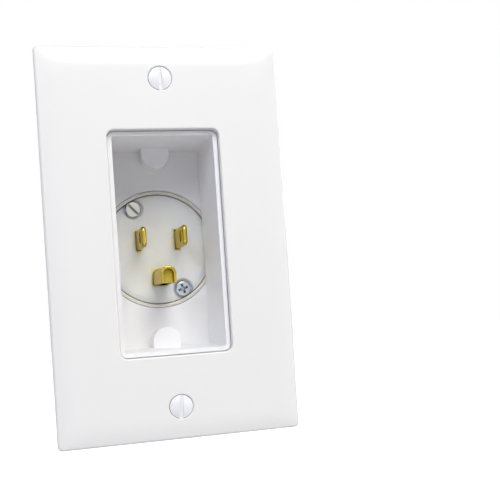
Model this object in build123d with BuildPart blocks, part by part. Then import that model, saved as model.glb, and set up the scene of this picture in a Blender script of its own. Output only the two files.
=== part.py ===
"""Recessed power inlet with its decorator wall plate.

Millimetres. X is to the right, Z is up, and the front looks along -Y.
The wall's face is the plane y = 0, and the origin is the centre of the wall plate's back.
Depths are y values: negative in front of the wall, positive inside it.
"""

import os
from math import cos, radians, sin, tan

from build123d import *

# Wall plate
plate_width = 71.8
plate_height = 116.2
plate_depth = 6.2
plate_wall = 2.2
plate_corner_radius = 1.4
plate_edge_radius = 1.0
crown_width = 6.5
crown_drop = 1.0
crown_corner_radius = 6.0
crown_steps = 4
opening_width = 33.3
opening_height = 66.8
opening_corner_radius = 2.2
opening_edge_radius = 0.4
opening_frame_wall = 1.6
opening_frame_gap = 1.0
plate_pad_diameter = 9.0

# Plate screws, 6-32 oval head
plate_screw_spacing = 96.84
plate_screw_shank = 3.1
plate_screw_length = 12.7
plate_screw_head = 7.1
plate_screw_dome = 0.9
plate_screw_dome_fullness = 0.75
plate_screw_slot = 1.2
plate_screw_slot_depth = 1.0
plate_screw_angle = 82
plate_screw_turn = 4
countersink_clearance = 0.25

# Recess housing: the neck stands in the plate's opening, the body behind it
neck_clearance = 0.15
rim_setback = 2.3
rim_wall = 1.35
rim_edge_radius = 0.3
mouth_corner_radius = 0.6
body_step = 0.45
body_front = 0.2
body_corner_radius = 2.0
body_shoulder_radius = 0.5
recess_depth = 25.0
recess_draft = 0.15
back_wall = 2.2
rear_rebate = 0.4
rear_rebate_length = 2.5

# Ears of the housing
ear_width = 22.1
ear_tab_width = 14.6
ear_shoulder = 44.1
ear_reach = 51.4
ear_front = 1.4
ear_thickness = 2.2
ear_corner_radius = 1.3
ear_inner_radius = 2.0
ear_root_radius = 0.6
ear_boss_diameter = 6.3
ear_boss_height = 2.0
ear_boss_edge_radius = 0.5
ear_hole = 3.3
mounting_spacing = 83.34
mounting_slot_width = 7.8
mounting_slot_height = 5.0
ear_pocket_depth = 0.5
ear_pocket_margin = 2.1
ear_pocket_low = 38.5
ear_pocket_high = 46.0
ear_pocket_neck = 11.0
ear_pocket_radius = 2.8
ejector_diameter = 3.2
ejector_depth = 0.15
ejector_tab_offset = 5.5
ejector_pocket_offset = 6.9

# Screw posts inside the recess, and the stand-offs behind them
post_width = 8.9
post_length = 6.4
post_height = 7.0
post_edge_radius = 0.3
standoff_diameter = 8.4
pilot_depth = 10.4

# Inlet: a round face in a collar, which fills the bore of the back wall
face_diameter = 35.5
face_gap = 0.2
face_setback = 0.3
face_edge_radius = 0.4
collar_wall = 1.15
collar_proud = 0.2
collar_edge_radius = 0.35
collar_clearance = 0.1
shoulder_lip = 1.3
shoulder_thickness = 2.6
panel_height = 0.25
panel_top = 7.4
panel_margin = 1.3
panel_corner_radius = 2.0

# Blades and ground pin, 15 A three-pin pattern
blade_spacing = 12.7
blade_raise = 2.95
blade_width = 6.35
blade_thickness = 1.52
blade_length = 16.5
blade_tip_radius = 1.6
blade_hole = 3.8
blade_hole_reach = 12.0
blade_fold_flat = 0.02
pin_drop = 11.9
pin_width = 4.8
pin_height = 5.2
pin_length = 19.5
pin_wall = 0.8
pin_nose_radius = 0.35
pin_nose_setback = 1.6
pin_nose_thickness = 1.2
contact_clearance = 0.08

# Face screws, one slotted and one cross recessed
face_screw_edge = 2.55
face_screw_angle = 61
face_screw_shank = 2.8
face_screw_head = 5.0
face_screw_head_height = 1.2
face_screw_dome = 0.4
face_screw_slot = 0.8
face_screw_slot_depth = 0.8
face_screw_slot_turn = -47
face_screw_cross = 3.2
face_screw_cross_turn = 18
face_screw_tip_margin = 1.5
screw_hole_clearance = 0.2
pocket_diameter = 6.6
pocket_depth = 1.0
pocket_flare = 20

# Terminals inside the inlet
block_inset = 0.25
block_length = 12.1
bay_floor = 2.4
bay_width = 8.4
tail_length = 10.6
terminal_screw_reach = 6.6
terminal_screw_shank = 3.0
terminal_screw_head = 5.3
terminal_screw_head_height = 2.2
terminal_screw_grip = 3.2
terminal_screw_slot = 0.9
terminal_screw_slot_depth = 1.0
terminal_screw_relief = 1.6
clamp_plate_thickness = 0.9
clamp_plate_length = 7.0
clamp_plate_lip = 0.7
ground_tail_thickness = 0.9
ground_tail_width = 6.4

# Retaining plate and its screws
retainer_thickness = 2.4
retainer_lip = 1.5
retainer_flat_cut = 2.0
retainer_gap = 0.1
lug_width = 10.0
lug_end_margin = 0.4
lug_corner_radius = 2.0
retaining_screw_shank = 2.8
retaining_screw_length = 10.0
retaining_screw_head = 5.8
retaining_screw_head_height = 2.2
retaining_screw_cross = 3.4
retaining_screw_cross_depth = 1.2

# Rear cover with its cable window and clamp
cover_gap = 1.3
cover_wall = 2.2
cable_space = 7.0
cover_edge_radius = 1.6
window_half_angle = 17
window_front_margin = 2.2
cover_post_diameter = 5.6
cable_clamp_width = 4.6
cable_clamp_length = 17.0
cable_clamp_corner_radius = 1.2
cable_clamp_thickness = 1.6
cable_clamp_inset = 7.6
clamp_screw_spacing = 12.6
clamp_screw_shank = 2.4
clamp_screw_head = 4.6
clamp_screw_head_height = 1.7
clamp_screw_length = 5.4
clamp_screw_slot = 0.7
clamp_screw_slot_depth = 0.8

# Shared by the screws, and the tolerance for picking edges
screw_dome = 0.6
screw_point = 0.5
slot_overrun = 1.0
pick = 0.01

# Places worked out from the sizes above
rim_front = rim_setback - plate_depth
back_wall_front = rim_front + recess_depth
housing_rear = back_wall_front + back_wall
rim_corner_radius = opening_corner_radius - neck_clearance
neck_width = opening_width - 2 * neck_clearance
neck_height = opening_height - 2 * neck_clearance
mouth_width = neck_width - 2 * rim_wall
mouth_height = neck_height - 2 * rim_wall
body_width = neck_width + 2 * body_step
body_height = neck_height + 2 * body_step
recess_floor_width = mouth_width - 2 * recess_draft
recess_floor_height = mouth_height - 2 * recess_draft
ear_back = ear_front + ear_thickness
ear_boss_front = ear_front - ear_boss_height
plate_screw_up = plate_screw_spacing / 2
post_up = recess_floor_height / 2 - post_length + post_width / 2
face_front = back_wall_front + face_setback
face_screw_reach = face_diameter / 2 - face_screw_edge
face_screw_across = face_screw_reach * cos(radians(face_screw_angle))
face_screw_up = face_screw_reach * sin(radians(face_screw_angle))
collar_radius = face_diameter / 2 + face_gap + collar_wall
collar_front = back_wall_front - collar_proud
bore_radius = collar_radius + collar_clearance
shoulder_rear = housing_rear + shoulder_thickness
block_diameter = face_diameter - 2 * block_inset
block_rear = shoulder_rear + block_length
cover_diameter = block_diameter + 2 * (cover_gap + cover_wall)
retainer_diameter = cover_diameter + 2 * retainer_lip
retainer_flats = retainer_diameter - 2 * retainer_flat_cut
retainer_rear = shoulder_rear + retainer_thickness
cover_floor = block_rear + cable_space
cover_rear = cover_floor + cover_wall
pin_centre = blade_raise - pin_drop
pin_top = pin_centre + pin_width / 2
pocket_floor = face_front + pocket_depth
bay_front = shoulder_rear + bay_floor
tail_rear = shoulder_rear + tail_length
terminal_depth = shoulder_rear + terminal_screw_reach
ground_tail_top = pin_top - pin_wall
ground_tail_bottom = ground_tail_top - ground_tail_thickness
clamp_plate_width = terminal_screw_head + 2 * (clamp_plate_lip + contact_clearance)
blade_outer = blade_spacing / 2 + blade_thickness / 2
blade_inner = blade_spacing / 2 - blade_thickness / 2
clamp_across = cover_diameter / 2 - cable_clamp_inset

os.makedirs("parts", exist_ok=True)


def facing(depth):
    """The plane at this depth, looked at from the front: extruding comes forward."""
    return Plane.XZ.offset(-depth)


def finish(builder, name):
    """Names the finished piece and writes it."""
    builder.part.label = name
    export_step(builder.part, f"parts/{name}.step")


def crowned_block(width, height, depth):
    """A plate's form: straight sides, and a face that falls away in a curve towards its borders."""
    side_front = crown_drop - depth
    with BuildPart() as block:
        with BuildSketch(facing(0)):
            RectangleRounded(width, height, plate_corner_radius)
        extrude(amount=depth - crown_drop)
        for step in range(crown_steps + 1):
            inward = step / crown_steps
            rise = crown_drop * (1 - (1 - inward) ** 2)
            corner_growth = inward * (crown_corner_radius - plate_corner_radius)
            with BuildSketch(facing(side_front - rise)):
                RectangleRounded(
                    width - 2 * inward * crown_width,
                    height - 2 * inward * crown_width,
                    plate_corner_radius + corner_growth,
                )
        loft()
        border_edges = block.edges().filter_by(
            lambda edge: abs(edge.center().Y - side_front) < pick and edge.bounding_box().size.Y < pick
        )
        fillet(border_edges, plate_edge_radius)
    return block.part


def headed_screw(seat, head, head_height, dome, shank, length, recess, arms, turn):
    """A pan-head screw: the plane lies on the seat of the head and faces out of it.

    The recess is (width, length, depth) of one arm: one arm is a slot, and two are a cross.
    """
    axis = Axis(seat.origin, seat.z_dir)
    recess_width, recess_length, recess_depth = recess
    with BuildPart() as screw:
        with BuildSketch(seat):
            Circle(head / 2)
        extrude(amount=head_height)
        fillet(screw.edges().filter_by(GeomType.CIRCLE).sort_by(axis)[-1], dome)
        with BuildSketch(seat):
            Circle(shank / 2)
        extrude(amount=-length)
        chamfer(screw.edges().filter_by(GeomType.CIRCLE).sort_by(axis)[0], screw_point)
        with BuildSketch(seat.offset(head_height)):
            for arm in range(arms):
                Rectangle(recess_length, recess_width, rotation=turn + 90 * arm)
        extrude(amount=-recess_depth, mode=Mode.SUBTRACT)
    return screw.part


# Wall plate: a moulded shell with a thicker frame round its opening and a pad behind each screw
plate_cavity = crowned_block(
    plate_width - 2 * plate_wall,
    plate_height - 2 * plate_wall,
    plate_depth - plate_wall,
)
with BuildPart() as wall_plate:
    add(crowned_block(plate_width, plate_height, plate_depth))
    add(plate_cavity, mode=Mode.SUBTRACT)
    with BuildSketch(facing(-opening_frame_gap)):
        RectangleRounded(
            opening_width + 2 * opening_frame_wall,
            opening_height + 2 * opening_frame_wall,
            opening_corner_radius + opening_frame_wall,
        )
    extrude(amount=plate_depth - plate_wall - opening_frame_gap)
    with BuildSketch(facing(ear_boss_front)):
        with GridLocations(0, plate_screw_spacing, 1, 2):
            Circle(plate_pad_diameter / 2)
    extrude(amount=plate_depth - plate_wall + ear_boss_front)
    with BuildSketch(facing(0)):
        RectangleRounded(opening_width, opening_height, opening_corner_radius)
    extrude(amount=plate_depth, mode=Mode.SUBTRACT)
    opening_edges = wall_plate.faces().sort_by(Axis.Y)[0].inner_wires().sort_by(SortBy.LENGTH)[-1].edges()
    fillet(opening_edges, opening_edge_radius)
    with Locations(facing(-plate_depth)):
        with GridLocations(0, plate_screw_spacing, 1, 2):
            CounterSinkHole(
                radius=plate_screw_shank / 2 + screw_hole_clearance,
                counter_sink_radius=plate_screw_head / 2 + countersink_clearance,
                depth=plate_depth,
                counter_sink_angle=plate_screw_angle,
            )
finish(wall_plate, "wall_plate")


# Plate screws: oval heads sunk in the plate, the shanks in the bosses of the ears
def plate_screw(side, turn):
    """One oval-head screw, with its slot turned away from upright by this many degrees."""
    head_radius = plate_screw_head / 2
    shank_radius = plate_screw_shank / 2
    seat = -plate_depth + countersink_clearance / tan(radians(plate_screw_angle / 2))
    cone = (head_radius - shank_radius) / tan(radians(plate_screw_angle / 2))
    tip = seat + plate_screw_length
    with BuildPart() as screw:
        with BuildSketch(Plane.XY):
            with BuildLine():
                Polyline(
                    (0, seat - plate_screw_dome),
                    (0, tip),
                    (shank_radius / 2, tip),
                    (shank_radius, tip - shank_radius / 2),
                    (shank_radius, seat + cone),
                    (head_radius, seat),
                )
                ThreePointArc(
                    (head_radius, seat),
                    (head_radius / 2, seat - plate_screw_dome * plate_screw_dome_fullness),
                    (0, seat - plate_screw_dome),
                )
            make_face()
        revolve(axis=Axis.Y)
        with BuildSketch(facing(seat - plate_screw_dome)):
            with Locations(Rotation(0, 0, turn)):
                Rectangle(plate_screw_slot, plate_screw_head + slot_overrun)
        extrude(amount=-plate_screw_slot_depth, mode=Mode.SUBTRACT)
    return screw.part.moved(Location((0, 0, side * plate_screw_up)))


for side, name in ((1, "plate_screw_upper"), (-1, "plate_screw_lower")):
    with BuildPart() as plate_screw_piece:
        add(plate_screw(side, side * plate_screw_turn))
    finish(plate_screw_piece, name)


# Recess housing: one deep moulding with its ears, posts and the bore for the inlet
def ear_outline(width, tab_width, shoulder, low, high, outer_radius, inner_radius):
    """Half of a strap's end: a wide foot from low to shoulder and a narrower tab up to high."""
    with BuildSketch() as outline:
        with Locations((0, (low + shoulder) / 2)):
            Rectangle(width, shoulder - low)
        with Locations((0, (low + high) / 2)):
            Rectangle(tab_width, high - low)
        inner = outline.vertices().filter_by_position(Axis.Y, shoulder - pick, shoulder + pick)
        fillet(inner.filter_by_position(Axis.X, -tab_width / 2 - pick, tab_width / 2 + pick), inner_radius)
        outer = outline.vertices().filter_by(
            lambda corner: abs(abs(corner.X) - width / 2) < pick and abs(corner.Y - shoulder) < pick
        )
        tips = outline.vertices().filter_by_position(Axis.Y, high - pick, high + pick)
        fillet(outer + tips, outer_radius)
    return outline.sketch


with BuildPart() as recess_housing:
    # outer form: body behind the plate, neck through its opening
    with BuildSketch(facing(housing_rear)):
        RectangleRounded(body_width - 2 * rear_rebate, body_height - 2 * rear_rebate, body_corner_radius)
    extrude(amount=rear_rebate_length)
    with BuildSketch(facing(housing_rear - rear_rebate_length)):
        RectangleRounded(body_width, body_height, body_corner_radius)
    extrude(amount=housing_rear - rear_rebate_length - body_front)
    shoulder_edges = recess_housing.faces().sort_by(Axis.Y)[0].edges()
    fillet(shoulder_edges, body_shoulder_radius)
    with BuildSketch(facing(body_front)):
        RectangleRounded(neck_width, neck_height, rim_corner_radius)
    extrude(amount=body_front - rim_front)
    rim_edges = recess_housing.faces().sort_by(Axis.Y)[0].edges()
    fillet(rim_edges, rim_edge_radius)

    # ears, with their roots rounded into the body
    with BuildSketch(facing(ear_back)):
        upper_ear = ear_outline(
            ear_width, ear_tab_width, ear_shoulder, 0, ear_reach, ear_corner_radius, ear_inner_radius
        )
        add(upper_ear)
        add(upper_ear.mirror(Plane.XZ))
    extrude(amount=ear_thickness)
    root_edges = recess_housing.edges().filter_by(
        lambda edge: abs(edge.center().Y - ear_front) < pick
        and abs(abs(edge.center().Z) - body_height / 2) < pick
        and edge.length < ear_width + pick
    )
    fillet(root_edges, ear_root_radius)

    # posts stand on the back wall, so the recess is cut round them
    with BuildSketch(facing(back_wall_front)):
        RectangleRounded(recess_floor_width, recess_floor_height, mouth_corner_radius)
    with BuildSketch(facing(rim_front)):
        RectangleRounded(mouth_width, mouth_height, mouth_corner_radius)
    loft(mode=Mode.SUBTRACT)
    with BuildSketch(facing(back_wall_front)):
        for side in (1, -1):
            with Locations((0, side * post_up)):
                Circle(post_width / 2)
            with Locations((0, side * (post_up + mouth_height / 2 + rim_wall / 2) / 2)):
                Rectangle(post_width, mouth_height / 2 + rim_wall / 2 - post_up)
    extrude(amount=post_height)
    post_edges = recess_housing.edges().filter_by(
        lambda edge: abs(edge.center().Y - (back_wall_front - post_height)) < pick
        and abs(edge.center().Z) < recess_floor_height / 2
    )
    fillet(post_edges, post_edge_radius)

    # stand-offs behind, with the pilot holes of the posts
    with BuildSketch(facing(shoulder_rear)):
        with Locations((0, post_up), (0, -post_up)):
            Circle(standoff_diameter / 2)
    extrude(amount=shoulder_thickness)
    with BuildSketch(facing(shoulder_rear)):
        with Locations((0, post_up), (0, -post_up)):
            Circle(retaining_screw_shank / 2 + contact_clearance)
    extrude(amount=pilot_depth, mode=Mode.SUBTRACT)

    # bore for the collar; it is wider than the box, so it opens the side walls too
    with BuildSketch(facing(housing_rear)):
        Circle(bore_radius)
    extrude(amount=housing_rear - collar_front + collar_clearance, mode=Mode.SUBTRACT)

    # boss and tapped hole for each plate screw
    with BuildSketch(facing(ear_front)):
        with GridLocations(0, plate_screw_spacing, 1, 2):
            Circle(ear_boss_diameter / 2)
    extrude(amount=ear_boss_height)
    boss_edges = recess_housing.edges().filter_by(GeomType.CIRCLE).filter_by(
        lambda edge: abs(edge.center().Y - ear_boss_front) < pick
    )
    fillet(boss_edges, ear_boss_edge_radius)
    with BuildSketch(facing(ear_back)):
        with GridLocations(0, plate_screw_spacing, 1, 2):
            Circle(ear_hole / 2)
        with GridLocations(0, mounting_spacing, 1, 2):
            Rectangle(mounting_slot_width, mounting_slot_height)
    extrude(amount=ear_thickness + ear_boss_height, mode=Mode.SUBTRACT)

    # shallow pocket in the face of each ear, and the ejector marks
    with BuildSketch(facing(ear_front)):
        upper_pocket = ear_outline(
            ear_width - 2 * ear_pocket_margin,
            ear_pocket_neck,
            ear_shoulder - ear_pocket_margin,
            ear_pocket_low,
            ear_pocket_high,
            mouth_corner_radius,
            ear_pocket_radius,
        )
        add(upper_pocket)
        add(upper_pocket.mirror(Plane.XZ))
        with GridLocations(0, plate_screw_spacing, 1, 2):
            Circle(ear_boss_diameter / 2, mode=Mode.SUBTRACT)
    extrude(amount=-ear_pocket_depth, mode=Mode.SUBTRACT)
    with BuildSketch(facing(ear_front)):
        with GridLocations(2 * ejector_tab_offset, plate_screw_spacing, 2, 2):
            Circle(ejector_diameter / 2)
    extrude(amount=-ejector_depth, mode=Mode.SUBTRACT)
    with BuildSketch(facing(ear_front + ear_pocket_depth)):
        with GridLocations(2 * ejector_pocket_offset, mounting_spacing - ejector_diameter, 2, 2):
            Circle(ejector_diameter / 2)
    extrude(amount=-ejector_depth, mode=Mode.SUBTRACT)
finish(recess_housing, "recess_housing")


def pin_profile(grow):
    """The ground pin's section: an arch that is open below, grown by this much all round."""
    half = pin_width / 2 + grow
    low = pin_top - pin_height - grow
    with BuildSketch() as profile:
        with Locations((0, pin_centre)):
            Circle(half)
        with Locations((0, (pin_centre + low) / 2)):
            Rectangle(2 * half, pin_centre - low)
    return profile.sketch


# Inlet collar: a ring round the face, with a shoulder that bears on the rear of the back wall
with BuildPart() as inlet_collar:
    with BuildSketch(facing(shoulder_rear)):
        Circle(bore_radius + shoulder_lip)
    extrude(amount=shoulder_thickness)
    with BuildSketch(facing(housing_rear)):
        Circle(collar_radius)
    extrude(amount=housing_rear - collar_front)
    with BuildSketch(facing(shoulder_rear)):
        Circle(face_diameter / 2 + face_gap)
    extrude(amount=shoulder_rear - collar_front, mode=Mode.SUBTRACT)
    fillet(inlet_collar.faces().sort_by(Axis.Y)[0].edges(), collar_edge_radius)
finish(inlet_collar, "inlet_collar")

# Inlet face: the round insulator that the blades stand in
with BuildPart() as inlet_face:
    with BuildSketch(facing(shoulder_rear)):
        Circle(face_diameter / 2)
    extrude(amount=shoulder_rear - face_front)
    fillet(inlet_face.faces().sort_by(Axis.Y)[0].edges(), face_edge_radius)
    # raised panel over all but the top of the face
    with BuildSketch(facing(face_front)) as panel:
        Circle(face_diameter / 2 - panel_margin)
        with Locations((0, panel_top + face_diameter / 2)):
            Rectangle(face_diameter, face_diameter, mode=Mode.SUBTRACT)
        fillet(panel.vertices(), panel_corner_radius)
    extrude(amount=panel_height)
    # keyhole pockets for the face screws, open to the rim
    with BuildSketch(facing(pocket_floor)):
        for side in (1, -1):
            heading = 90 * side + 90 - face_screw_angle
            with Locations((-side * face_screw_across, side * face_screw_up)):
                Circle(pocket_diameter / 2)
                with Locations(Rotation(0, 0, heading)):
                    with Locations((pocket_diameter / 2 * sin(radians(pocket_flare)), 0)):
                        Trapezoid(
                            pocket_diameter,
                            pocket_diameter,
                            90 + pocket_flare,
                            rotation=-90,
                            align=(Align.CENTER, Align.MIN),
                        )
    extrude(amount=pocket_depth + panel_height, mode=Mode.SUBTRACT)
    # slots for the contacts and holes for the screws
    with BuildSketch(facing(shoulder_rear)):
        with Locations((-blade_spacing / 2, blade_raise), (blade_spacing / 2, blade_raise)):
            Rectangle(blade_thickness + 2 * contact_clearance, blade_width + 2 * contact_clearance)
        add(pin_profile(contact_clearance))
        with Locations((-face_screw_across, face_screw_up), (face_screw_across, -face_screw_up)):
            Circle(face_screw_shank / 2 + screw_hole_clearance)
    extrude(amount=shoulder_rear - face_front + panel_height, mode=Mode.SUBTRACT)
finish(inlet_face, "inlet_face")


# Blades: brass strip folded at the tip, drilled, and drilled again for the terminal screw
def blade(across):
    """One folded blade standing at this place across the face."""
    with BuildPart() as strip:
        with BuildSketch(Plane.YZ.offset(across - blade_thickness / 2)) as side_view:
            with Locations(((tail_rear + face_front - blade_length) / 2, blade_raise)):
                Rectangle(tail_rear - face_front + blade_length, blade_width)
            fillet(side_view.vertices().group_by(Axis.X)[0], blade_tip_radius)
            with Locations((face_front - blade_hole_reach, blade_raise)):
                Circle(blade_hole / 2, mode=Mode.SUBTRACT)
            with Locations((terminal_depth, blade_raise)):
                Circle(terminal_screw_shank / 2 + contact_clearance, mode=Mode.SUBTRACT)
        extrude(amount=blade_thickness)
        tip_edges = strip.edges().filter_by(
            lambda edge: abs(edge.center().Y - (face_front - blade_length)) < pick
            and edge.length > blade_tip_radius
        )
        fillet(tip_edges, (blade_thickness - blade_fold_flat) / 2)
    return strip.part


for across, name in ((-blade_spacing / 2, "line_blade"), (blade_spacing / 2, "neutral_blade")):
    with BuildPart() as blade_piece:
        add(blade(across))
    finish(blade_piece, name)

# Ground pin: sheet folded to an arch, with its nose closed by a tongue, and a flat tail
with BuildPart() as ground_pin:
    with BuildSketch(facing(bay_front)):
        add(pin_profile(0))
    extrude(amount=bay_front - face_front + pin_length)
    fillet(ground_pin.faces().sort_by(Axis.Y)[0].edges(), pin_nose_radius)
    with BuildSketch(facing(bay_front)) as channel:
        add(pin_profile(-pin_wall))
        with Locations((0, pin_top - pin_height)):
            Rectangle(pin_width - 2 * pin_wall, 3 * pin_wall)
    channel_length = bay_front - face_front + pin_length - pin_nose_setback - pin_nose_thickness
    extrude(amount=channel_length, mode=Mode.SUBTRACT)
    with BuildSketch(facing(face_front - pin_length)):
        add(channel.sketch_local)
    extrude(amount=-pin_nose_setback, mode=Mode.SUBTRACT)
    with BuildSketch(Plane.XY.offset(ground_tail_top)):
        with Locations((0, (bay_front + tail_rear) / 2)):
            Rectangle(ground_tail_width, tail_rear - bay_front)
        with Locations((0, bay_front)):
            Rectangle(pin_width - 2 * pin_wall, 2 * pin_wall)
        with Locations((0, terminal_depth)):
            Circle(terminal_screw_shank / 2 + contact_clearance, mode=Mode.SUBTRACT)
    extrude(amount=-ground_tail_thickness)
finish(ground_pin, "ground_pin")


# Face screws: sunk in their pockets, through the face and the block into the rear cover's posts
face_screw_length = cover_floor - face_screw_tip_margin - pocket_floor
slot = (face_screw_slot, face_screw_head + slot_overrun, face_screw_slot_depth)
cross = (face_screw_slot, face_screw_cross, face_screw_slot_depth)
face_screw_kinds = (
    ("face_screw_upper", 1, slot, 1, face_screw_slot_turn),
    ("face_screw_lower", -1, cross, 2, face_screw_cross_turn),
)
for name, side, recess, arms, turn in face_screw_kinds:
    face_screw_seat = facing(pocket_floor).shift_origin(
        (-side * face_screw_across, pocket_floor, side * face_screw_up)
    )
    with BuildPart() as face_screw:
        add(
            headed_screw(
                face_screw_seat,
                face_screw_head,
                face_screw_head_height,
                face_screw_dome,
                face_screw_shank,
                face_screw_length,
                recess,
                arms,
                turn,
            )
        )
    finish(face_screw, name)

# Terminal block: the inner insulator, with three bays open outwards and to the rear
with BuildPart() as terminal_block:
    with BuildSketch(facing(block_rear)):
        Circle(block_diameter / 2)
    extrude(amount=block_length)
    with BuildSketch(facing(block_rear)):
        with Locations((-blade_spacing / 2, blade_raise), (blade_spacing / 2, blade_raise)):
            Rectangle(blade_thickness + 2 * contact_clearance, blade_width + 2 * contact_clearance)
        add(pin_profile(contact_clearance))
        with Locations((-face_screw_across, face_screw_up), (face_screw_across, -face_screw_up)):
            Circle(face_screw_shank / 2 + screw_hole_clearance)
    extrude(amount=block_length, mode=Mode.SUBTRACT)
    with BuildSketch(facing(block_rear)):
        bay_inner = blade_inner - contact_clearance
        bay_reach = block_diameter / 2 - bay_inner
        with Locations((bay_inner + bay_reach / 2, blade_raise), (-bay_inner - bay_reach / 2, blade_raise)):
            Rectangle(bay_reach, bay_width)
        ground_bay_reach = block_diameter / 2 + ground_tail_top + contact_clearance
        with Locations((0, ground_bay_reach / 2 - block_diameter / 2)):
            Rectangle(bay_width, ground_bay_reach)
    extrude(amount=block_rear - bay_front, mode=Mode.SUBTRACT)
    # room for the end of each terminal screw
    for side in (1, -1):
        with BuildSketch(Plane.YZ.offset(side * bay_inner)):
            with Locations((terminal_depth, blade_raise)):
                Circle(terminal_screw_shank / 2 + screw_hole_clearance)
        extrude(amount=-side * terminal_screw_relief, mode=Mode.SUBTRACT)
    with BuildSketch(Plane.XY.offset(ground_tail_top)):
        with Locations((0, terminal_depth)):
            Circle(terminal_screw_shank / 2 + screw_hole_clearance)
    extrude(amount=terminal_screw_relief, mode=Mode.SUBTRACT)
finish(terminal_block, "terminal_block")

# Wire clamps and terminal screws, each pair on its own contact
terminal_places = (
    ("line", Plane(origin=(-blade_outer, terminal_depth, blade_raise), x_dir=(0, 1, 0), z_dir=(-1, 0, 0))),
    ("neutral", Plane(origin=(blade_outer, terminal_depth, blade_raise), x_dir=(0, 1, 0), z_dir=(1, 0, 0))),
    ("ground", Plane(origin=(0, terminal_depth, ground_tail_bottom), x_dir=(0, 1, 0), z_dir=(0, 0, -1))),
)
for name, contact_face in terminal_places:
    with BuildPart() as wire_clamp:
        with BuildSketch(contact_face):
            Rectangle(clamp_plate_length, clamp_plate_width)
            Circle(terminal_screw_shank / 2 + screw_hole_clearance, mode=Mode.SUBTRACT)
        extrude(amount=clamp_plate_thickness)
        with BuildSketch(contact_face.offset(clamp_plate_thickness)):
            with GridLocations(0, clamp_plate_width - clamp_plate_lip, 1, 2):
                Rectangle(clamp_plate_length, clamp_plate_lip)
        extrude(amount=clamp_plate_lip)
    finish(wire_clamp, f"{name}_wire_clamp")
    with BuildPart() as terminal_screw:
        add(
            headed_screw(
                contact_face.offset(clamp_plate_thickness),
                terminal_screw_head,
                terminal_screw_head_height,
                screw_dome,
                terminal_screw_shank,
                terminal_screw_grip,
                (terminal_screw_slot, clamp_plate_width, terminal_screw_slot_depth),
                1,
                0,
            )
        )
    finish(terminal_screw, f"{name}_terminal_screw")

# Retaining plate: a ring with two flats and two lugs, holding the shoulder to the back wall
with BuildPart() as retaining_plate:
    lug_reach = body_height / 2 - rear_rebate - lug_end_margin
    with BuildSketch(facing(retainer_rear)):
        Circle(retainer_diameter / 2)
        Rectangle(retainer_flats, retainer_diameter, mode=Mode.INTERSECT)
        RectangleRounded(lug_width, 2 * lug_reach, lug_corner_radius)
        Circle(block_diameter / 2 + retainer_gap, mode=Mode.SUBTRACT)
        with Locations((0, post_up), (0, -post_up)):
            Circle(retaining_screw_shank / 2 + screw_hole_clearance, mode=Mode.SUBTRACT)
    extrude(amount=retainer_thickness)
finish(retaining_plate, "retaining_plate")

for side, name in ((1, "retaining_screw_upper"), (-1, "retaining_screw_lower")):
    retaining_seat = Plane(origin=(0, retainer_rear, side * post_up), x_dir=(-1, 0, 0), z_dir=(0, 1, 0))
    with BuildPart() as retaining_screw:
        add(
            headed_screw(
                retaining_seat,
                retaining_screw_head,
                retaining_screw_head_height,
                screw_dome,
                retaining_screw_shank,
                retaining_screw_length,
                (face_screw_slot, retaining_screw_cross, retaining_screw_cross_depth),
                2,
                0,
            )
        )
    finish(retaining_screw, name)

# Rear cover: a cup over the terminals, with a window in its side where the cable comes in
with BuildPart() as rear_cover:
    with BuildSketch(facing(cover_rear)):
        Circle(cover_diameter / 2)
    extrude(amount=cover_rear - retainer_rear)
    fillet(rear_cover.faces().sort_by(Axis.Y)[-1].edges(), cover_edge_radius)
    with BuildSketch(facing(cover_floor)):
        Circle(cover_diameter / 2 - cover_wall)
    extrude(amount=cover_floor - retainer_rear, mode=Mode.SUBTRACT)
    with BuildSketch(facing(cover_floor)):
        with Locations((-face_screw_across, face_screw_up), (face_screw_across, -face_screw_up)):
            Circle(cover_post_diameter / 2)
            Circle(face_screw_shank / 2 + contact_clearance, mode=Mode.SUBTRACT)
    extrude(amount=cable_space)
    with BuildSketch(facing(cover_rear)):
        with BuildLine():
            window_rise = cover_diameter * tan(radians(window_half_angle))
            Polyline((0, 0), (-cover_diameter, window_rise), (-cover_diameter, -window_rise), close=True)
        make_face()
        Circle(block_diameter / 2 + face_gap, mode=Mode.SUBTRACT)
    extrude(amount=cover_rear - retainer_rear - window_front_margin, mode=Mode.SUBTRACT)
    with BuildSketch(facing(cover_rear)):
        with Locations((-clamp_across, 0)):
            with GridLocations(0, clamp_screw_spacing, 1, 2):
                Circle(clamp_screw_shank / 2 + screw_hole_clearance)
    extrude(amount=cover_wall, mode=Mode.SUBTRACT)
finish(rear_cover, "rear_cover")

# Cable clamp: a pressed bar behind the window, drawn on the cable by two screws
with BuildPart() as cable_clamp:
    with BuildSketch(facing(cover_floor)):
        with Locations((-clamp_across, 0)):
            RectangleRounded(cable_clamp_width, cable_clamp_length, cable_clamp_corner_radius)
            with GridLocations(0, clamp_screw_spacing, 1, 2):
                Circle(clamp_screw_shank / 2 + contact_clearance, mode=Mode.SUBTRACT)
    extrude(amount=cable_clamp_thickness)
finish(cable_clamp, "cable_clamp")

for side, name in ((1, "cable_clamp_screw_upper"), (-1, "cable_clamp_screw_lower")):
    clamp_place = (-clamp_across, cover_rear, side * clamp_screw_spacing / 2)
    clamp_seat = Plane(origin=clamp_place, x_dir=(-1, 0, 0), z_dir=(0, 1, 0))
    with BuildPart() as cable_clamp_screw:
        add(
            headed_screw(
                clamp_seat,
                clamp_screw_head,
                clamp_screw_head_height,
                screw_dome,
                clamp_screw_shank,
                clamp_screw_length,
                (clamp_screw_slot, clamp_screw_head + slot_overrun, clamp_screw_slot_depth),
                1,
                90,
            )
        )
    finish(cable_clamp_screw, name)
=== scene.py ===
"""Recessed power inlet with its wall plate: finishes, screw threads, floor, light and camera.

Metres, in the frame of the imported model: X to the right, Z up, and the front looks along -Y.
"""

from math import radians, tau

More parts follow.
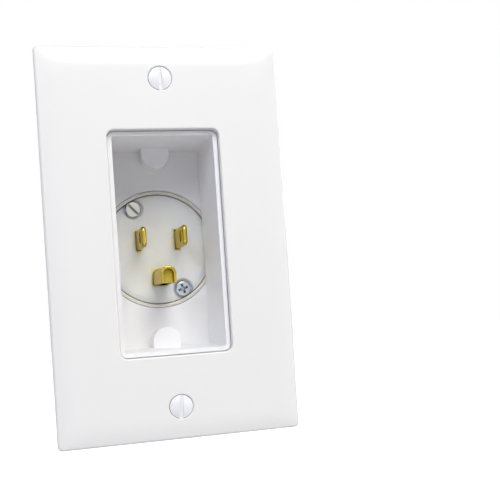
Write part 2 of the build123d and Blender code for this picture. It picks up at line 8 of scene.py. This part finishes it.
import bmesh
import bpy
from mathutils import Matrix, Quaternion, Vector


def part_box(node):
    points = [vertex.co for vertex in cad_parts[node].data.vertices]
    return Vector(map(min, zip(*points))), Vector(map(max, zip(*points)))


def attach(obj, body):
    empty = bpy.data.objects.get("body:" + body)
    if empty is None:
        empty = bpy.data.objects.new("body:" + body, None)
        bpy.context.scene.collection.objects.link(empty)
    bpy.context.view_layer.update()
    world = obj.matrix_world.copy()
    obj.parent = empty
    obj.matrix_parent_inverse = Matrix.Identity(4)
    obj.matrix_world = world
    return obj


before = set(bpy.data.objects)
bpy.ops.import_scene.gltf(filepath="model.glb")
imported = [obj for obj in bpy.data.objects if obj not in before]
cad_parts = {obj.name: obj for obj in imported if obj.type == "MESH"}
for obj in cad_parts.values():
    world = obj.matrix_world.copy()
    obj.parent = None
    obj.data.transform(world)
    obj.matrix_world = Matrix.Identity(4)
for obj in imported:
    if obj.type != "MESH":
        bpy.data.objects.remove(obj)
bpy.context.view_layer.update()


# Recess housing: one deep moulding of white thermoplastic, with its ears, posts and bore.
# It comes out of a fine-ground tool, so it is satin, with faint flow clouds and almost no grain.
# The grain of a real skin is too fine to show, here and on the other mouldings, so it is drawn coarser.
MM = 0.001


def linear(hex_colour):
    """An sRGB hex colour as linear RGBA, by the curve of the sRGB standard."""
    channels = [int(hex_colour[place : place + 2], 16) / 255 for place in (1, 3, 5)]
    return [c / 12.92 if c <= 0.04045 else ((c + 0.055) / 1.055) ** 2.4 for c in channels] + [1.0]


def add_node(material, kind, inputs=(), **settings):
    """Adds one node. Settings are its properties, and inputs pair a socket with a value or a socket."""
    node = material.node_tree.nodes.new(kind)
    for setting, value in settings.items():
        setattr(node, setting, value)
    for socket, value in inputs:
        if isinstance(value, bpy.types.NodeSocket):
            material.node_tree.links.new(value, node.inputs[socket])
        else:
            node.inputs[socket].default_value = value
    return node


def new_material(name):
    """An empty material, and the object coordinates that its patterns read."""
    material = bpy.data.materials.new(name)
    material.use_nodes = True
    material.node_tree.nodes.clear()
    coordinates = add_node(material, "ShaderNodeTexCoord")
    return material, coordinates.outputs["Object"]


def smooth_finish(name, colour, shade, roughness, gloss_range, cloud_mm, grain_mm, relief):
    """An opaque moulded or painted skin: clouds in its shade and its gloss, and a grained relief."""
    cloud_detail = 3.0
    grain_detail = 2.0
    grain_depth = 0.02 * MM
    material, place = new_material(name)
    cloud = add_node(
        material,
        "ShaderNodeTexNoise",
        [("Vector", place), ("Scale", 1 / (cloud_mm * MM)), ("Detail", cloud_detail)],
    )
    tint = add_node(
        material,
        "ShaderNodeMix",
        [(0, cloud.outputs["Fac"]), (6, linear(colour)), (7, linear(shade))],
        data_type="RGBA",
    )
    grain = add_node(
        material,
        "ShaderNodeTexNoise",
        [("Vector", place), ("Scale", 1 / (grain_mm * MM)), ("Detail", grain_detail)],
    )
    gloss = add_node(
        material,
        "ShaderNodeMapRange",
        [
            ("Value", cloud.outputs["Fac"]),
            ("To Min", roughness - gloss_range),
            ("To Max", roughness + gloss_range),
        ],
    )
    bump = add_node(
        material,
        "ShaderNodeBump",
        [("Height", grain.outputs["Fac"]), ("Strength", relief), ("Distance", grain_depth)],
    )
    shader = add_node(
        material,
        "ShaderNodeBsdfPrincipled",
        [
            ("Base Color", tint.outputs[2]),
            ("Roughness", gloss.outputs["Result"]),
            ("Normal", bump.outputs["Normal"]),
        ],
    )
    add_node(material, "ShaderNodeOutputMaterial", [("Surface", shader.outputs["BSDF"])])
    return material


def dress(names, material):
    """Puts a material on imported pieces, which keep their place and shape."""
    for name in names:
        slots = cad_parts[name].data.materials
        slots.clear()
        slots.append(material)


satin_housing = smooth_finish(
    "satin_moulded_thermoplastic",
    colour="#F3F3F4",
    shade="#F0F0F2",
    roughness=0.38,
    gloss_range=0.03,
    cloud_mm=18.0,
    grain_mm=1.2,
    relief=0.06,
)
dress(["recess_housing"], satin_housing)


# Inlet collar and face: a ring in the bore and the round insulator in it, moulded in natural nylon.
# Nylon lets light in a little way, so it looks soft. Round the brass it is painted golden, a painted
# reflection and glow of the metal, and deep in the gap between face and collar it is painted tan as the
# gap's shade. It is a touch warmer on the collar.
nylon, nylon_place = new_material("natural_nylon")
face_centre_to_blade = 6.35 * MM
any_depth = 1.0
blade_half_size = (0.76 * MM, any_depth, 3.18 * MM)
pin_half_size = (2.4 * MM, any_depth, 2.6 * MM)
brass_reflection_width = 1.1 * MM
brass_reflection_strength = 0.9
gap_radius = 17.85 * MM
gap_half_width = 0.13 * MM
collar_bore_radius = 17.98 * MM
across_the_axis = (1.0, 0.0, 1.0)
nylon_cloud_size = 6 * MM
nylon_cloud_detail = 4.0
nylon_grain_size = 0.6 * MM
nylon_grain_detail = 2.0
nylon_grain_depth = 0.02 * MM
nylon_grain_relief = 0.2
nylon_roughness = 0.34
nylon_ior = 1.53
nylon_light_reach = 3.0 * MM
nylon_colour_reach = (1.0, 0.85, 0.6)


def vector_math(operation, first, second=(0.0, 0.0, 0.0)):
    """One step of vector arithmetic in the nylon's nodes."""
    step = add_node(nylon, "ShaderNodeVectorMath", [(0, first), (1, second)], operation=operation)
    return step.outputs["Value" if operation == "LENGTH" else "Vector"]


def distance_to_contact(across, level, half_size):
    """How far a point of the face is from a contact with this centre and these half sizes."""
    offset = vector_math("ABSOLUTE", vector_math("SUBTRACT", nylon_place, (across, 0.0, level)))
    return vector_math("LENGTH", vector_math("MAXIMUM", vector_math("SUBTRACT", offset, half_size)))


blade_low, blade_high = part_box("line_blade")
blade_level = (blade_low[2] + blade_high[2]) / 2
pin_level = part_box("ground_pin")[1][2] - pin_half_size[2]
nearest_blade = add_node(
    nylon,
    "ShaderNodeMath",
    [
        (0, distance_to_contact(-face_centre_to_blade, blade_level, blade_half_size)),
        (1, distance_to_contact(face_centre_to_blade, blade_level, blade_half_size)),
    ],
    operation="MINIMUM",
)
nearest_contact = add_node(
    nylon,
    "ShaderNodeMath",
    [(0, nearest_blade.outputs[0]), (1, distance_to_contact(0.0, pin_level, pin_half_size))],
    operation="MINIMUM",
)
# Painted reflection: the nylon round each contact is painted golden, for the brass reflected and glowing
# in it.
painted_brass_reflection = add_node(
    nylon,
    "ShaderNodeMapRange",
    [
        ("Value", nearest_contact.outputs[0]),
        ("From Max", brass_reflection_width),
        ("To Min", brass_reflection_strength),
        ("To Max", 0.0),
    ],
)
radius = vector_math("LENGTH", vector_math("MULTIPLY", nylon_place, across_the_axis))
# Painted shade: a tan ring on the walls of the gap between face and collar, for the shade deep in it.
painted_gap_shade = add_node(
    nylon,
    "ShaderNodeMath",
    [(0, radius), (1, gap_radius), (2, gap_half_width)],
    operation="COMPARE",
)
nylon_cloud = add_node(
    nylon,
    "ShaderNodeTexNoise",
    [("Vector", nylon_place), ("Scale", 1 / nylon_cloud_size), ("Detail", nylon_cloud_detail)],
)
clear_nylon = add_node(
    nylon,
    "ShaderNodeMix",
    [(0, nylon_cloud.outputs["Fac"]), (6, linear("#EFF1F0")), (7, linear("#ECEDEC"))],
    data_type="RGBA",
)
on_collar = add_node(
    nylon,
    "ShaderNodeMath",
    [(0, radius), (1, collar_bore_radius)],
    operation="GREATER_THAN",
)
warmer_nylon = add_node(
    nylon,
    "ShaderNodeMix",
    [(0, on_collar.outputs[0]), (6, clear_nylon.outputs[2]), (7, linear("#EDE4D6"))],
    data_type="RGBA",
)
nylon_with_brass_reflection = add_node(
    nylon,
    "ShaderNodeMix",
    [(0, painted_brass_reflection.outputs["Result"]), (6, warmer_nylon.outputs[2]), (7, linear("#FFF2A0"))],
    data_type="RGBA",
)
nylon_tint = add_node(
    nylon,
    "ShaderNodeMix",
    [(0, painted_gap_shade.outputs[0]), (6, nylon_with_brass_reflection.outputs[2]), (7, linear("#EADBBE"))],
    data_type="RGBA",
)
nylon_grain = add_node(
    nylon,
    "ShaderNodeTexNoise",
    [("Vector", nylon_place), ("Scale", 1 / nylon_grain_size), ("Detail", nylon_grain_detail)],
)
nylon_bump = add_node(
    nylon,
    "ShaderNodeBump",
    [
        ("Height", nylon_grain.outputs["Fac"]),
        ("Strength", nylon_grain_relief),
        ("Distance", nylon_grain_depth),
    ],
)
nylon_shader = add_node(
    nylon,
    "ShaderNodeBsdfPrincipled",
    [
        ("Base Color", nylon_tint.outputs[2]),
        ("Roughness", nylon_roughness),
        ("IOR", nylon_ior),
        ("Subsurface Weight", 1.0),
        ("Subsurface Radius", nylon_colour_reach),
        ("Subsurface Scale", nylon_light_reach),
        ("Normal", nylon_bump.outputs["Normal"]),
    ],
)
add_node(nylon, "ShaderNodeOutputMaterial", [("Surface", nylon_shader.outputs["BSDF"])])
dress(["inlet_collar", "inlet_face"], nylon)


# Blades and ground pin: cartridge brass strip, blanked, folded and tumbled bright.
# Sockets leave fine lines along it. Its corners are darkened, partly as tarnish and partly as painted
# shade where light doesn't reach them.
# The real lines are a few hundredths of a millimetre apart, so they are drawn coarser.
def worked_metal(name, colour, shade, tarnish_and_shade, edge_tint, corner_mm, roughness, stretch, line_mm, relief):
    """Worked or plated metal: two near shades, fine lines along one axis, and corners darkened with
    tarnish and painted shade.
    """
    line_detail = 3.0
    line_depth = 0.02 * MM
    patch_mm = 10 * line_mm
    patch_detail = 2.0
    smoother = 0.07
    rougher = 0.09
    corner_samples = 8
    tarnish_and_shade_below = 0.3
    unshaded_above = 0.75
    material, place = new_material(name)
    along = add_node(material, "ShaderNodeMapping", [("Vector", place), ("Scale", stretch)])
    lines = add_node(
        material,
        "ShaderNodeTexNoise",
        [("Vector", along.outputs["Vector"]), ("Scale", 1 / (line_mm * MM)), ("Detail", line_detail)],
    )
    patches = add_node(
        material,
        "ShaderNodeTexNoise",
        [("Vector", place), ("Scale", 1 / (patch_mm * MM)), ("Detail", patch_detail)],
    )
    unshaded_colour = add_node(
        material,
        "ShaderNodeMix",
        [(0, patches.outputs["Fac"]), (6, linear(colour)), (7, linear(shade))],
        data_type="RGBA",
    )
    # Painted shade, with tarnish: corners found by ambient occlusion are darkened towards the darker
    # colour given.
    corner = add_node(
        material,
        "ShaderNodeAmbientOcclusion",
        [("Distance", corner_mm * MM)],
        samples=corner_samples,
        only_local=True,
    )
    unshaded_part = add_node(
        material,
        "ShaderNodeMapRange",
        [("Value", corner.outputs["AO"]), ("From Min", tarnish_and_shade_below), ("From Max", unshaded_above)],
    )
    tint = add_node(
        material,
        "ShaderNodeMix",
        [(0, unshaded_part.outputs["Result"]), (6, linear(tarnish_and_shade)), (7, unshaded_colour.outputs[2])],
        data_type="RGBA",
    )
    gloss = add_node(
        material,
        "ShaderNodeMapRange",
        [
            ("Value", lines.outputs["Fac"]),
            ("To Min", roughness - smoother),
            ("To Max", roughness + rougher),
        ],
    )
    bump = add_node(
        material,
        "ShaderNodeBump",
        [("Height", lines.outputs["Fac"]), ("Strength", relief), ("Distance", line_depth)],
    )
    shader = add_node(
        material,
        "ShaderNodeBsdfPrincipled",
        [
            ("Base Color", tint.outputs[2]),
            ("Metallic", 1.0),
            ("Specular Tint", linear(edge_tint)),
            ("Roughness", gloss.outputs["Result"]),
            ("Normal", bump.outputs["Normal"]),
        ],
    )
    add_node(material, "ShaderNodeOutputMaterial", [("Surface", shader.outputs["BSDF"])])
    return material


along_blades = (1.0, 0.12, 1.0)
brass = worked_metal(
    "rolled_cartridge_brass",
    colour="#C8B24E",
    shade="#A89236",
    tarnish_and_shade="#4A3C10",
    edge_tint="#F4E6B4",
    corner_mm=2.5,
    roughness=0.18,
    stretch=along_blades,
    line_mm=0.35,
    relief=0.6,
)
dress(["line_blade", "neutral_blade", "ground_pin"], brass)


# Terminal block: the inner insulator, hidden but for what shows through the cable window.
# It is a mineral-filled moulding, so it is matt and a little grey.
block_plastic = smooth_finish(
    "filled_matt_thermoplastic",
    colour="#DCDCD9",
    shade="#D2D2CF",
    roughness=0.6,
    gloss_range=0.08,
    cloud_mm=9.0,
    grain_mm=0.5,
    relief=0.5,
)
dress(["terminal_block"], block_plastic)


# Terminals: pressed steel clamps under screws, each screw in the finish that tells its wire.
# Brass marks line, nickel, a warm bright grey, marks neutral, and green chromate marks ground.
# The clamps are zinc plated, which is a cool bright grey. Plating shows no run of lines.
even = (1.0, 1.0, 1.0)
zinc = worked_metal(
    "bright_zinc_plating",
    colour="#C3CAD2",
    shade="#AEB6C0",
    tarnish_and_shade="#2E323A",
    edge_tint="#FFFFFF",
    corner_mm=2.0,
    roughness=0.24,
    stretch=even,
    line_mm=0.4,
    relief=0.3,
)
nickel = worked_metal(
    "bright_nickel_plating",
    colour="#CDCBC6",
    shade="#B4B1AB",
    tarnish_and_shade="#34322E",
    edge_tint="#FFFFFF",
    corner_mm=2.0,
    roughness=0.2,
    stretch=even,
    line_mm=0.4,
    relief=0.3,
)
green = worked_metal(
    "green_chromated_steel",
    colour="#2E7A45",
    shade="#22613A",
    tarnish_and_shade="#12301C",
    edge_tint="#DDEEDD",
    corner_mm=2.0,
    roughness=0.34,
    stretch=even,
    line_mm=0.4,
    relief=0.3,
)
dress(["line_wire_clamp", "neutral_wire_clamp", "ground_wire_clamp"], zinc)
dress(["line_terminal_screw"], brass)
dress(["neutral_terminal_screw"], nickel)
dress(["ground_terminal_screw"], green)


# Retaining plate and its two screws: they draw the inlet's shoulder against the back of the recess.
# The plate is white nylon, a little greyer than the housing, and the screws are zinc plated.
retainer_nylon = smooth_finish(
    "white_moulded_nylon",
    colour="#E6E6E6",
    shade="#DFDFE0",
    roughness=0.45,
    gloss_range=0.05,
    cloud_mm=12.0,
    grain_mm=0.6,
    relief=0.4,
)
dress(["retaining_plate"], retainer_nylon)
dress(["retaining_screw_upper", "retaining_screw_lower"], zinc)


# Rear cover and its cable clamp: a cup over the terminals, from the same material as the housing.
# The clamp is a pressed bar, which two small zinc plated screws draw down on the cable.
dress(["rear_cover"], satin_housing)
dress(["cable_clamp", "cable_clamp_screw_upper", "cable_clamp_screw_lower"], zinc)


# Face screws: they pull face, block and rear cover together.
# One is a slotted nickel screw and the other a zinc one with a cross, as fitted.
dress(["face_screw_upper"], nickel)
dress(["face_screw_lower"], zinc)


# Wall plate: a moulded shell of white thermoplastic, held by the two plate screws.
# Its tool is polished, so it is glossier and plainer than the housing.
plate_plastic = smooth_finish(
    "glossy_moulded_thermoplastic",
    colour="#F1F0ED",
    shade="#EEEDEA",
    roughness=0.27,
    gloss_range=0.01,
    cloud_mm=30.0,
    grain_mm=1.5,
    relief=0.03,
)
dress(["wall_plate"], plate_plastic)


# Plate screws: steel oval heads, painted to go with the plate, in the bosses of the ears.
# The paint is satin and slightly uneven, and a thin dark ring of painted shade round each head stands for
# the shadowed gap beside it.
screw_paint = smooth_finish(
    "satin_white_paint",
    colour="#F4F4F5",
    shade="#EEEEF0",
    roughness=0.3,
    gloss_range=0.05,
    cloud_mm=2.0,
    grain_mm=0.4,
    relief=0.3,
)
screw_low, screw_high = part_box("plate_screw_upper")
head_radius = screw_high[0]
head_level = (screw_low[2] + screw_high[2]) / 2
gap_shade_width = 0.2 * MM
paint_place = add_node(screw_paint, "ShaderNodeTexCoord")
paint_mirrored = add_node(
    screw_paint,
    "ShaderNodeVectorMath",
    [(0, paint_place.outputs["Object"])],
    operation="ABSOLUTE",
)
from_axis = add_node(
    screw_paint,
    "ShaderNodeVectorMath",
    [(0, paint_mirrored.outputs["Vector"]), (1, across_the_axis), (2, (0.0, 0.0, -head_level))],
    operation="MULTIPLY_ADD",
)
axis_distance = add_node(
    screw_paint,
    "ShaderNodeVectorMath",
    [(0, from_axis.outputs["Vector"])],
    operation="LENGTH",
)
# Painted shade: the outermost rim of each head is darkened, for the shadow in the gap round it.
painted_gap_ring = add_node(
    screw_paint,
    "ShaderNodeMapRange",
    [
        ("Value", axis_distance.outputs["Value"]),
        ("From Min", head_radius - gap_shade_width),
        ("From Max", head_radius - gap_shade_width / 2),
    ],
)
coat = screw_paint.node_tree.nodes["Principled BSDF"]
unshaded_coat = coat.inputs["Base Color"].links[0].from_socket
gap_shaded_coat = add_node(
    screw_paint,
    "ShaderNodeMix",
    [(0, painted_gap_ring.outputs["Result"]), (6, unshaded_coat), (7, linear("#55535F"))],
    data_type="RGBA",
)
screw_paint.node_tree.links.new(gap_shaded_coat.outputs[2], coat.inputs["Base Color"])
dress(["plate_screw_upper", "plate_screw_lower"], screw_paint)


# Screw threads: the turns that show where each plate screw comes out behind its ear.
# They are rolled in the steel, 32 to the inch, and are plated but not painted.
inch_mm = 25.4
turns_per_inch = 32
thread_pitch = inch_mm / turns_per_inch * MM
thread_root = 1.5 * MM
thread_crest = 1.74 * MM
thread_base_half = 0.33 * MM
thread_crest_half = 0.05 * MM
steps_per_turn = 28
ear_back = 3.6 * MM
plain_tip = 0.9 * MM


def screw_thread(name, screw_name):
    """A V-shaped ridge wound round the free end of one plate screw."""
    low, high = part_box(screw_name)
    level = (low[2] + high[2]) / 2
    start = ear_back + thread_base_half
    turns = (high[1] - plain_tip - start) / thread_pitch
    steps = int(turns * steps_per_turn)
    profile = (
        (thread_root, -thread_base_half),
        (thread_crest, -thread_crest_half),
        (thread_crest, thread_crest_half),
        (thread_root, thread_base_half),
    )
    ridge = bmesh.new()
    first_end = ridge.faces.new([ridge.verts.new((out, start + along, level)) for out, along in profile])
    bmesh.ops.spin(
        ridge,
        geom=[first_end],
        cent=(0.0, 0.0, level),
        axis=(0.0, 1.0, 0.0),
        dvec=(0.0, turns * thread_pitch / steps, 0.0),
        angle=tau * turns,
        steps=steps,
    )
    bmesh.ops.recalc_face_normals(ridge, faces=ridge.faces)
    data = bpy.data.meshes.new(name)
    ridge.to_mesh(data)
    ridge.free()
    data.materials.append(zinc)
    piece = bpy.data.objects.new(name, data)
    bpy.context.scene.collection.objects.link(piece)
    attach(piece, "root")


screw_thread("plate_screw_thread_upper", "plate_screw_upper")
screw_thread("plate_screw_thread_lower", "plate_screw_lower")


# Floor: a plain pale sheet below the part, which keeps the part's shadow.
# Seen by the camera or in a reflection it glows, and further out it is as white as the backdrop.
floor_drop = 0.16
floor_radius = 3.0
floor_sides = 96
floor_mesh = bmesh.new()
bmesh.ops.create_circle(
    floor_mesh,
    cap_ends=True,
    radius=floor_radius,
    segments=floor_sides,
    matrix=Matrix.Translation((0, 0, -floor_drop)),
)
floor_data = bpy.data.meshes.new("floor")
floor_mesh.to_mesh(floor_data)
floor_mesh.free()
floor = bpy.data.objects.new("floor", floor_data)
bpy.context.scene.collection.objects.link(floor)
paper, paper_place = new_material("white_studio_paper")


def seen_directly(material):
    """1 where the camera, a reflection or a view through glass meets the surface."""
    ray = add_node(material, "ShaderNodeLightPath")
    glossy = add_node(
        material,
        "ShaderNodeMath",
        [(0, ray.outputs["Is Camera Ray"]), (1, ray.outputs["Is Glossy Ray"])],
        operation="ADD",
    )
    through = add_node(
        material,
        "ShaderNodeMath",
        [(0, glossy.outputs[0]), (1, ray.outputs["Is Transmission Ray"])],
        operation="ADD",
        use_clamp=True,
    )
    return through.outputs[0]


white = (1.0, 1.0, 1.0, 1.0)
near_glow = 0.62
near_reach = 0.3
far_reach = 1.2
paper_roughness = 0.9
paper_reach = add_node(paper, "ShaderNodeVectorMath", [(0, paper_place)], operation="LENGTH")
paper_rise = add_node(
    paper,
    "ShaderNodeMapRange",
    [
        ("Value", paper_reach.outputs["Value"]),
        ("From Min", near_reach),
        ("From Max", far_reach),
        ("To Min", near_glow),
    ],
)
paper_glow = add_node(
    paper,
    "ShaderNodeMath",
    [(0, seen_directly(paper)), (1, paper_rise.outputs["Result"])],
    operation="MULTIPLY",
)
paper_shader = add_node(
    paper,
    "ShaderNodeBsdfPrincipled",
    [
        ("Base Color", linear("#C8C8C8")),
        ("Roughness", paper_roughness),
        ("Emission Color", white),
        ("Emission Strength", paper_glow.outputs[0]),
    ],
)
add_node(paper, "ShaderNodeOutputMaterial", [("Surface", paper_shader.outputs["BSDF"])])
floor_data.materials.append(paper)


# World: an even, pale studio, a touch cool, as a room is beside its lamp.
# The camera and reflections see it plain white.
world = bpy.data.worlds.new("studio")
world.use_nodes = True
world.node_tree.nodes.clear()
ambient_strength = 0.13
world_seen = seen_directly(world)
world_colour = add_node(
    world,
    "ShaderNodeMix",
    [(0, world_seen), (6, linear("#CCC6FF")), (7, white)],
    data_type="RGBA",
)
world_strength = add_node(
    world,
    "ShaderNodeMapRange",
    [("Value", world_seen), ("To Min", ambient_strength)],
)
world_background = add_node(
    world,
    "ShaderNodeBackground",
    [("Color", world_colour.outputs[2]), ("Strength", world_strength.outputs["Result"])],
)
add_node(world, "ShaderNodeOutputWorld", [("Surface", world_background.outputs["Background"])])
bpy.context.scene.world = world


# Lamps: a soft key lamp high in front, weaker ones to its left and right, and one behind the part.
# The key leaves the top of the recess in shade, and lights its floor.
def soft_lamp(name, place, size, watts, colour):
    """A square soft lamp of this size at this place, turned towards the part."""
    lamp_data = bpy.data.lights.new(name, "AREA")
    lamp_data.shape = "SQUARE"
    lamp_data.size = size
    lamp_data.energy = watts
    lamp_data.color = colour
    lamp = bpy.data.objects.new(name, lamp_data)
    lamp.location = place
    lamp.rotation_mode = "QUATERNION"
    lamp.rotation_quaternion = (-Vector(place)).to_track_quat("-Z", "Y")
    bpy.context.scene.collection.objects.link(lamp)


soft_lamp("key_lamp", place=(0.11, -0.79, 0.79), size=0.6, watts=9.5, colour=(1.0, 0.985, 0.92))
soft_lamp("left_lamp", place=(-0.60, -0.75, 0.55), size=0.5, watts=3.4, colour=(0.78, 0.84, 1.0))
soft_lamp("right_lamp", place=(0.95, -0.45, 0.10), size=0.4, watts=1.9, colour=(1.0, 1.0, 1.0))
soft_lamp("back_lamp", place=(0.50, 1.00, 0.40), size=0.6, watts=8.5, colour=(1.0, 1.0, 0.96))


# Camera: it stands a little to the left of the front and below the centre.
# It is rolled a few degrees, as the photograph was.
camera_place = (-0.0366, -0.2424, -0.0194)
camera_axis = Vector((0.24452, 0.96952, 0.01556))
camera_roll = -3.84
camera_sensor = 36.0
camera_lens = 58.4
camera_rise = 0.08
camera_near = 0.01
camera_far = 20.0
camera_data = bpy.data.cameras.new("camera")
camera_data.sensor_width = camera_sensor
camera_data.lens = camera_lens
camera_data.shift_y = camera_rise
camera_data.clip_start = camera_near
camera_data.clip_end = camera_far
camera = bpy.data.objects.new("camera", camera_data)
camera.location = camera_place
camera.rotation_mode = "QUATERNION"
level_view = camera_axis.to_track_quat("-Z", "Y")
camera.rotation_quaternion = level_view @ Quaternion((0, 0, 1), radians(camera_roll))
bpy.context.scene.collection.objects.link(camera)
bpy.context.scene.camera = camera
bpy.context.scene.view_settings.view_transform = "Standard"
